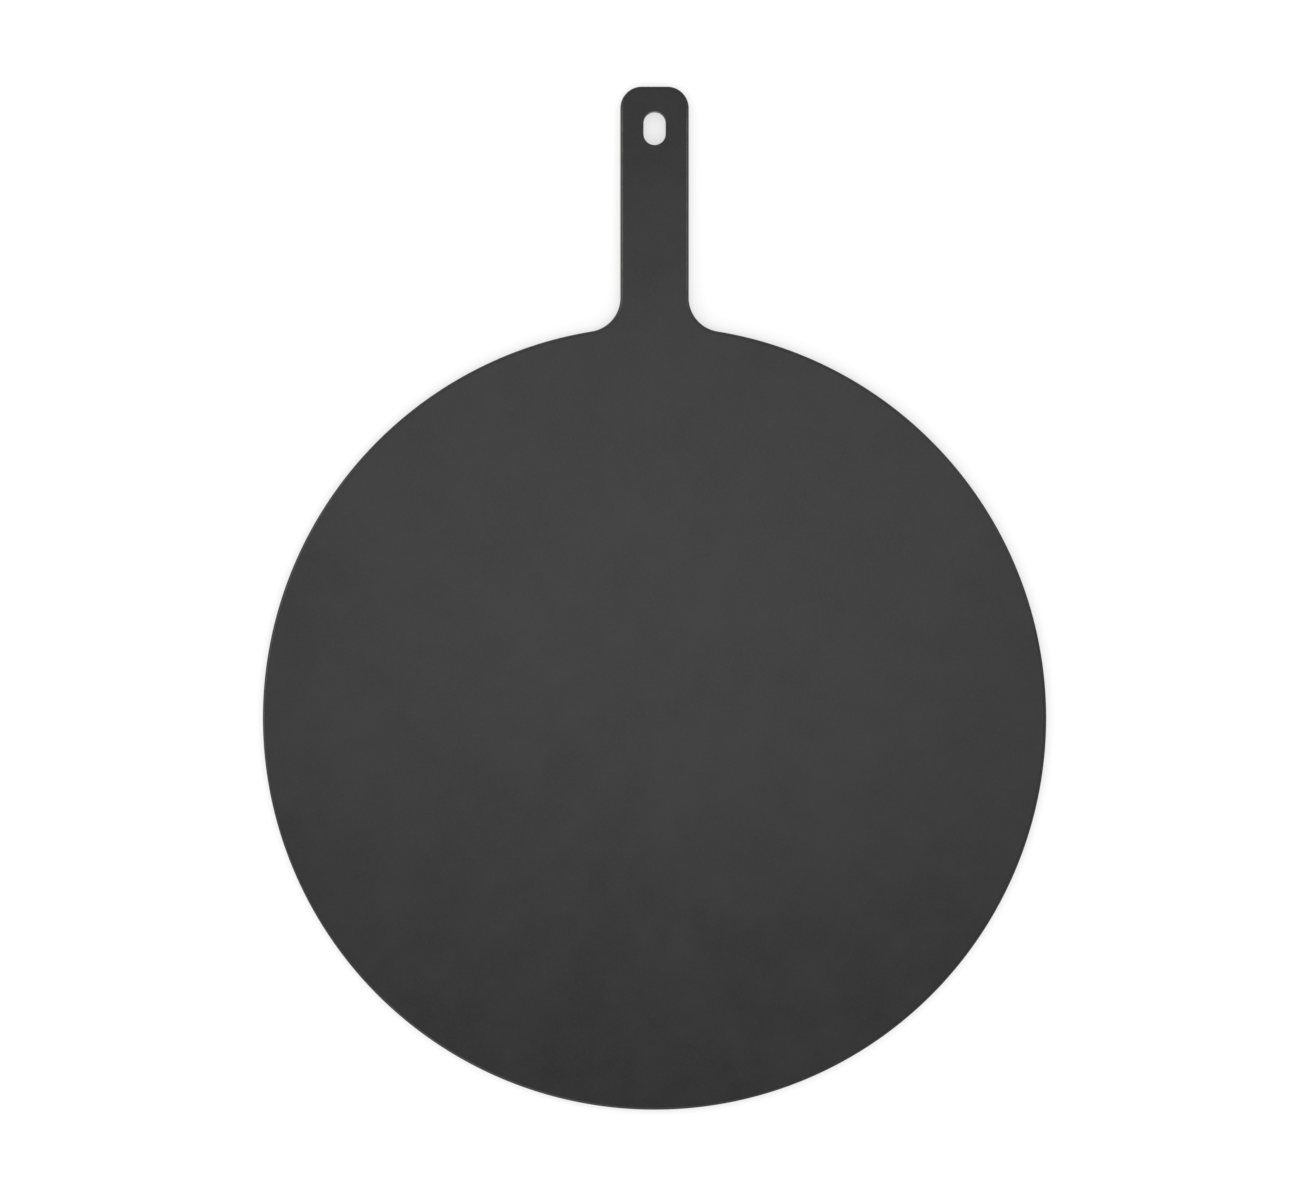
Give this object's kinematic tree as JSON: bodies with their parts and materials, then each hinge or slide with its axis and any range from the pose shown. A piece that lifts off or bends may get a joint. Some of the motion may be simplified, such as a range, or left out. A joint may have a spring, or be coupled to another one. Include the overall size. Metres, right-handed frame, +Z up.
{
  "type": "pizza serving board",
  "caption": "Flat round serving board with a straight handle and a round-ended hanging slot near its end, all rims rounded over.",
  "frame": {"origin": "middle of the round, on the underside that the board rests on", "axes": "+Z up through the thickness to the serving face, +Y along the handle towards its end, +X to the right as seen from above"},
  "size_m": [0.356, 0.4649, 0.006],
  "materials": {
    "panel": "matte charcoal wood-fibre composite"
  },
  "bodies": {
    "root": {"board": "panel"}
  },
  "joints": []
}
